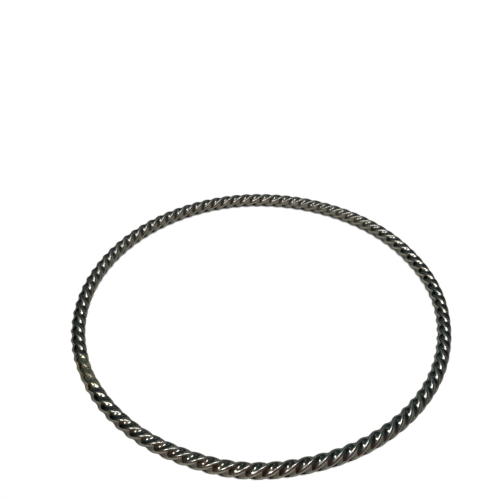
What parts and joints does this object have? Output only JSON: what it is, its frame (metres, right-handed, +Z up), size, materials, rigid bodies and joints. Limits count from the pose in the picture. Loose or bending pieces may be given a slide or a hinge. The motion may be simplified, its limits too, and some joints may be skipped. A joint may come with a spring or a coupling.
{
  "type": "twisted wire bangle",
  "caption": "Rigid round bangle of one square wire twisted about itself like a rope and soldered end to end, lying flat.",
  "frame": {"origin": "centre of the ring, at the level of the surface that the bangle lies on", "axes": "+Z up along the ring's axis, +X to the right in the picture, and +Y away from the camera; the solder joint lies at 205.5 degrees round +Z from +X"},
  "size_m": [0.0697, 0.0697, 0.0026],
  "materials": {
    "aged_silver": "polished silver, darkened by age, with brown stain at the solder joint"
  },
  "bodies": {
    "root": {"twisted_band": "aged_silver"}
  },
  "joints": []
}
